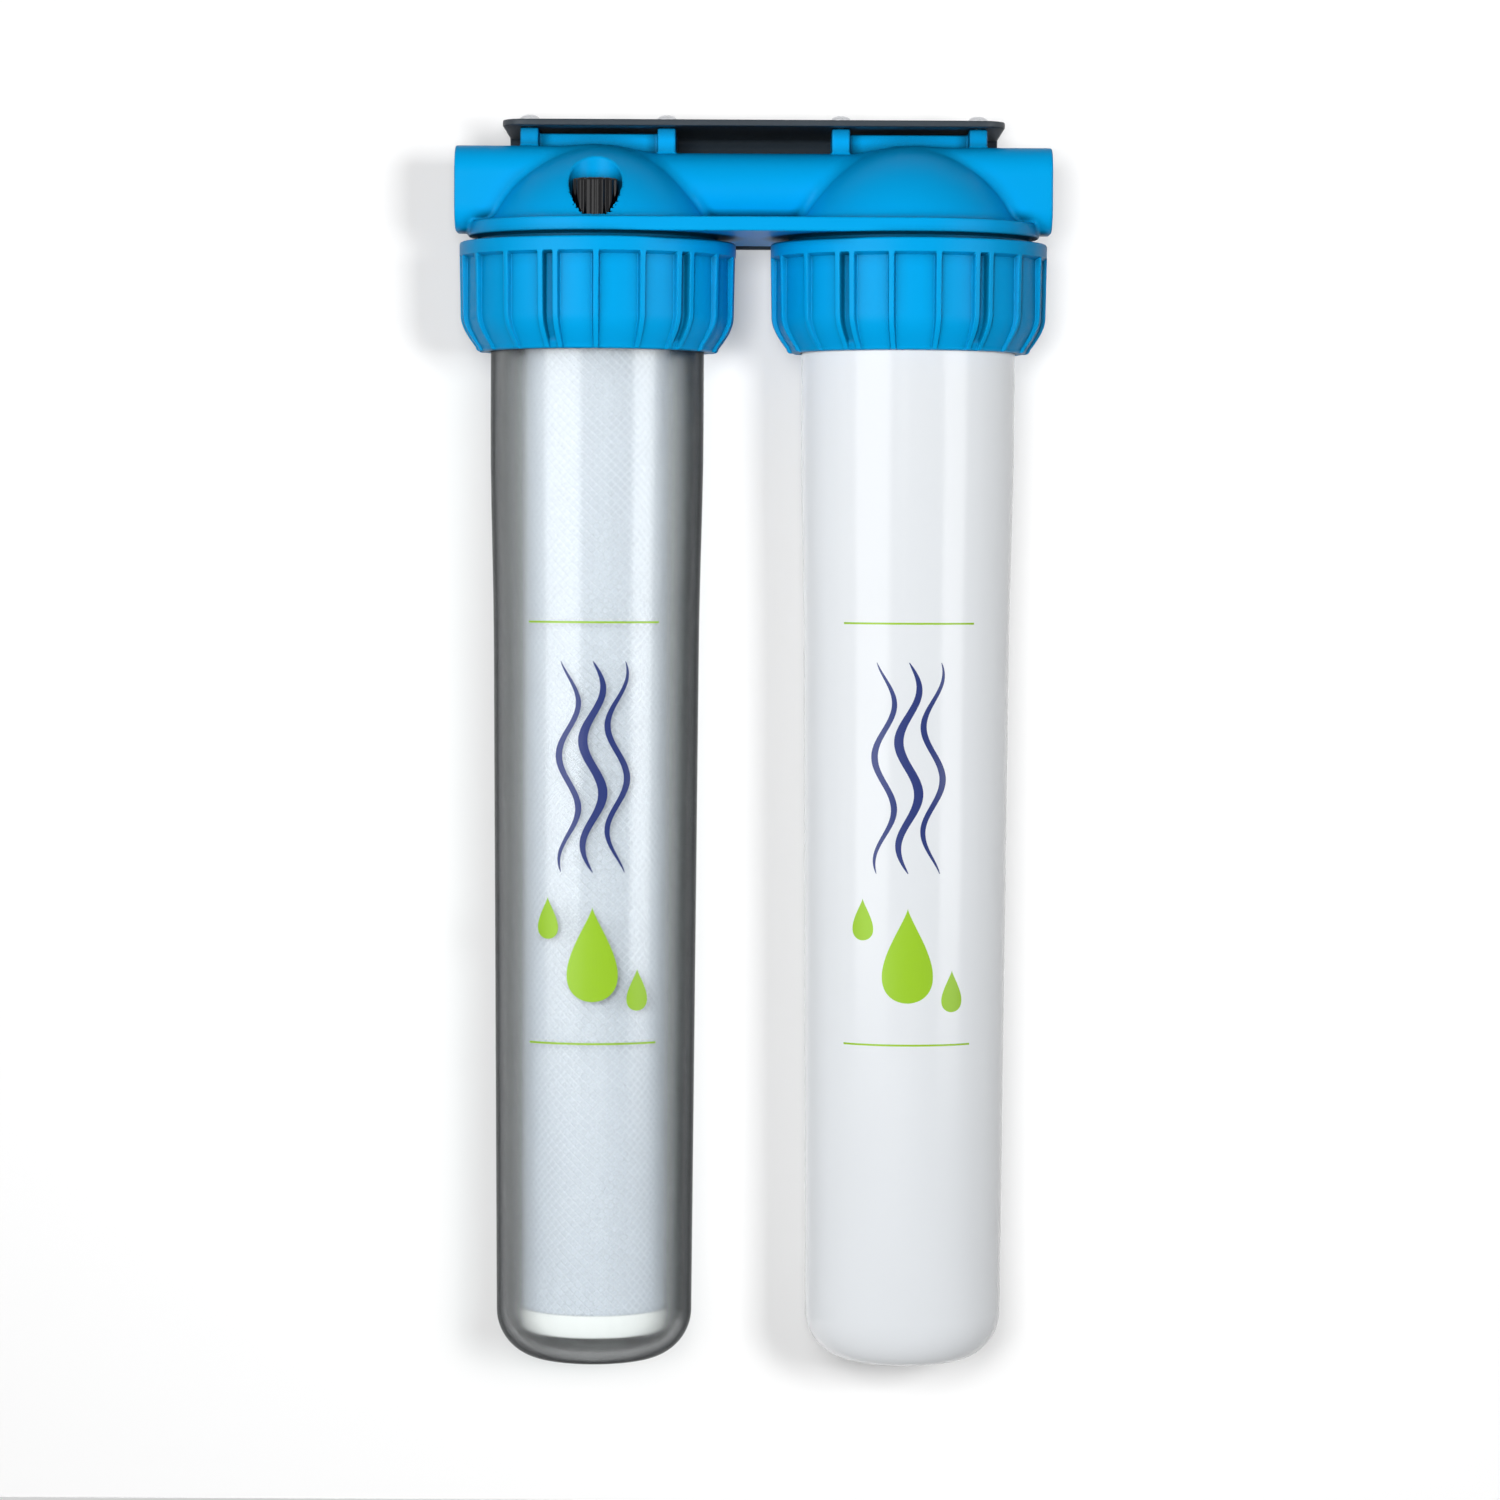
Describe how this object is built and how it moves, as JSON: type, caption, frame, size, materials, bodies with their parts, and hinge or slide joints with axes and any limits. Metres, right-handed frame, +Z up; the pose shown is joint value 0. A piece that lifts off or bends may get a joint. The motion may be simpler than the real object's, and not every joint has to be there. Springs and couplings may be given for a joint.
{
  "type": "salt-free water softener",
  "caption": "Wall-hung salt-free water softener: moulded head with side ports and a vent, threaded ring nuts, a clear and a white bowl holding tall cartridges, and a folded steel bracket.",
  "frame": {"origin": "middle of the wall face of the bracket's back leg, where the part is held against the wall", "axes": "+Z up along the bowls, +Y into the wall, +X to the right when the front is looked at, front towards -Y"},
  "size_m": [0.2796, 0.14, 0.5874],
  "materials": {
    "blue_plastic": "satin moulded polypropylene",
    "clear_plastic": "clear moulded plastic",
    "white_bowl_plastic": "glossy white moulded plastic",
    "cap_plastic": "plain white moulded plastic",
    "net_sleeve": "white plastic net over felt",
    "felt": "white felt",
    "carbon": "pressed carbon, dull black",
    "media_beads": "pale round beads",
    "black_rubber": "smooth black rubber",
    "black_plastic": "black moulded plastic",
    "brass": "turned brass",
    "slate_paint": "dark slate powder coat",
    "zinc_steel": "bright zinc plate"
  },
  "bodies": {
    "head_and_bracket": {"head": "blue_plastic", "inlet_insert": "brass", "outlet_insert": "brass", "wall_bracket": "slate_paint", "bracket_screw_1": "zinc_steel", "bracket_screw_2": "zinc_steel", "bracket_screw_3": "zinc_steel", "bracket_screw_4": "zinc_steel", "bracket_screw_5": "zinc_steel", "bracket_screw_6": "zinc_steel", "bracket_screw_7": "zinc_steel", "bracket_screw_8": "zinc_steel"},
    "left_bowl_group": {"left_bowl": "clear_plastic", "left_bowl_seal": "black_rubber", "left_top_gasket": "black_rubber", "left_bottom_gasket": "black_rubber", "left_top_cap": "cap_plastic", "left_bottom_cap": "cap_plastic", "core_tube": "cap_plastic", "carbon_block": "carbon", "net_sleeve": "net_sleeve"},
    "left_nut": {"left_ring_nut": "blue_plastic"},
    "right_bowl_group": {"right_bowl": "white_bowl_plastic", "right_bowl_seal": "black_rubber", "right_top_gasket": "black_rubber", "right_bottom_gasket": "black_rubber", "right_top_cap": "cap_plastic", "right_bottom_cap": "cap_plastic", "canister": "cap_plastic", "lower_screen": "felt", "upper_screen": "felt", "media_bed": "media_beads"},
    "right_nut": {"right_ring_nut": "blue_plastic"},
    "vent_lift": {"vent_seal": "black_rubber"},
    "vent_screw": {"vent_knob": "black_plastic"}
  },
  "joints": [
    {"name": "left_bowl_drop", "type": "slide", "parent": "head_and_bracket", "child": "left_bowl_group", "axis": [0, 0, -1], "range_m": [0, 0.03]},
    {"name": "left_nut_turn", "type": "hinge", "parent": "left_bowl_group", "child": "left_nut", "pos_m": [-0.0732, -0.075, -0.055], "axis": [0, 0, 1], "range_deg": [-1800, 0]},
    {"name": "right_bowl_drop", "type": "slide", "parent": "head_and_bracket", "child": "right_bowl_group", "axis": [0, 0, -1], "range_m": [0, 0.03]},
    {"name": "right_nut_turn", "type": "hinge", "parent": "right_bowl_group", "child": "right_nut", "pos_m": [0.0732, -0.075, -0.055], "axis": [0, 0, 1], "range_deg": [-1800, 0]},
    {"name": "vent_rise", "type": "slide", "parent": "head_and_bracket", "child": "vent_lift", "axis": [0, 0, 1], "range_m": [0, 0.0025]},
    {"name": "vent_turn", "type": "hinge", "parent": "vent_lift", "child": "vent_screw", "pos_m": [-0.0732, -0.1156, -0.015], "axis": [0, 0, 1], "range_deg": [0, 720]}
  ],
  "couplings": [
    {"joint": "left_bowl_drop", "follows": "left_nut_turn", "m_per_rad": -0.00095492},
    {"joint": "right_bowl_drop", "follows": "right_nut_turn", "m_per_rad": -0.00095492},
    {"joint": "vent_rise", "follows": "vent_turn", "m_per_rad": 0.00019894}
  ]
}
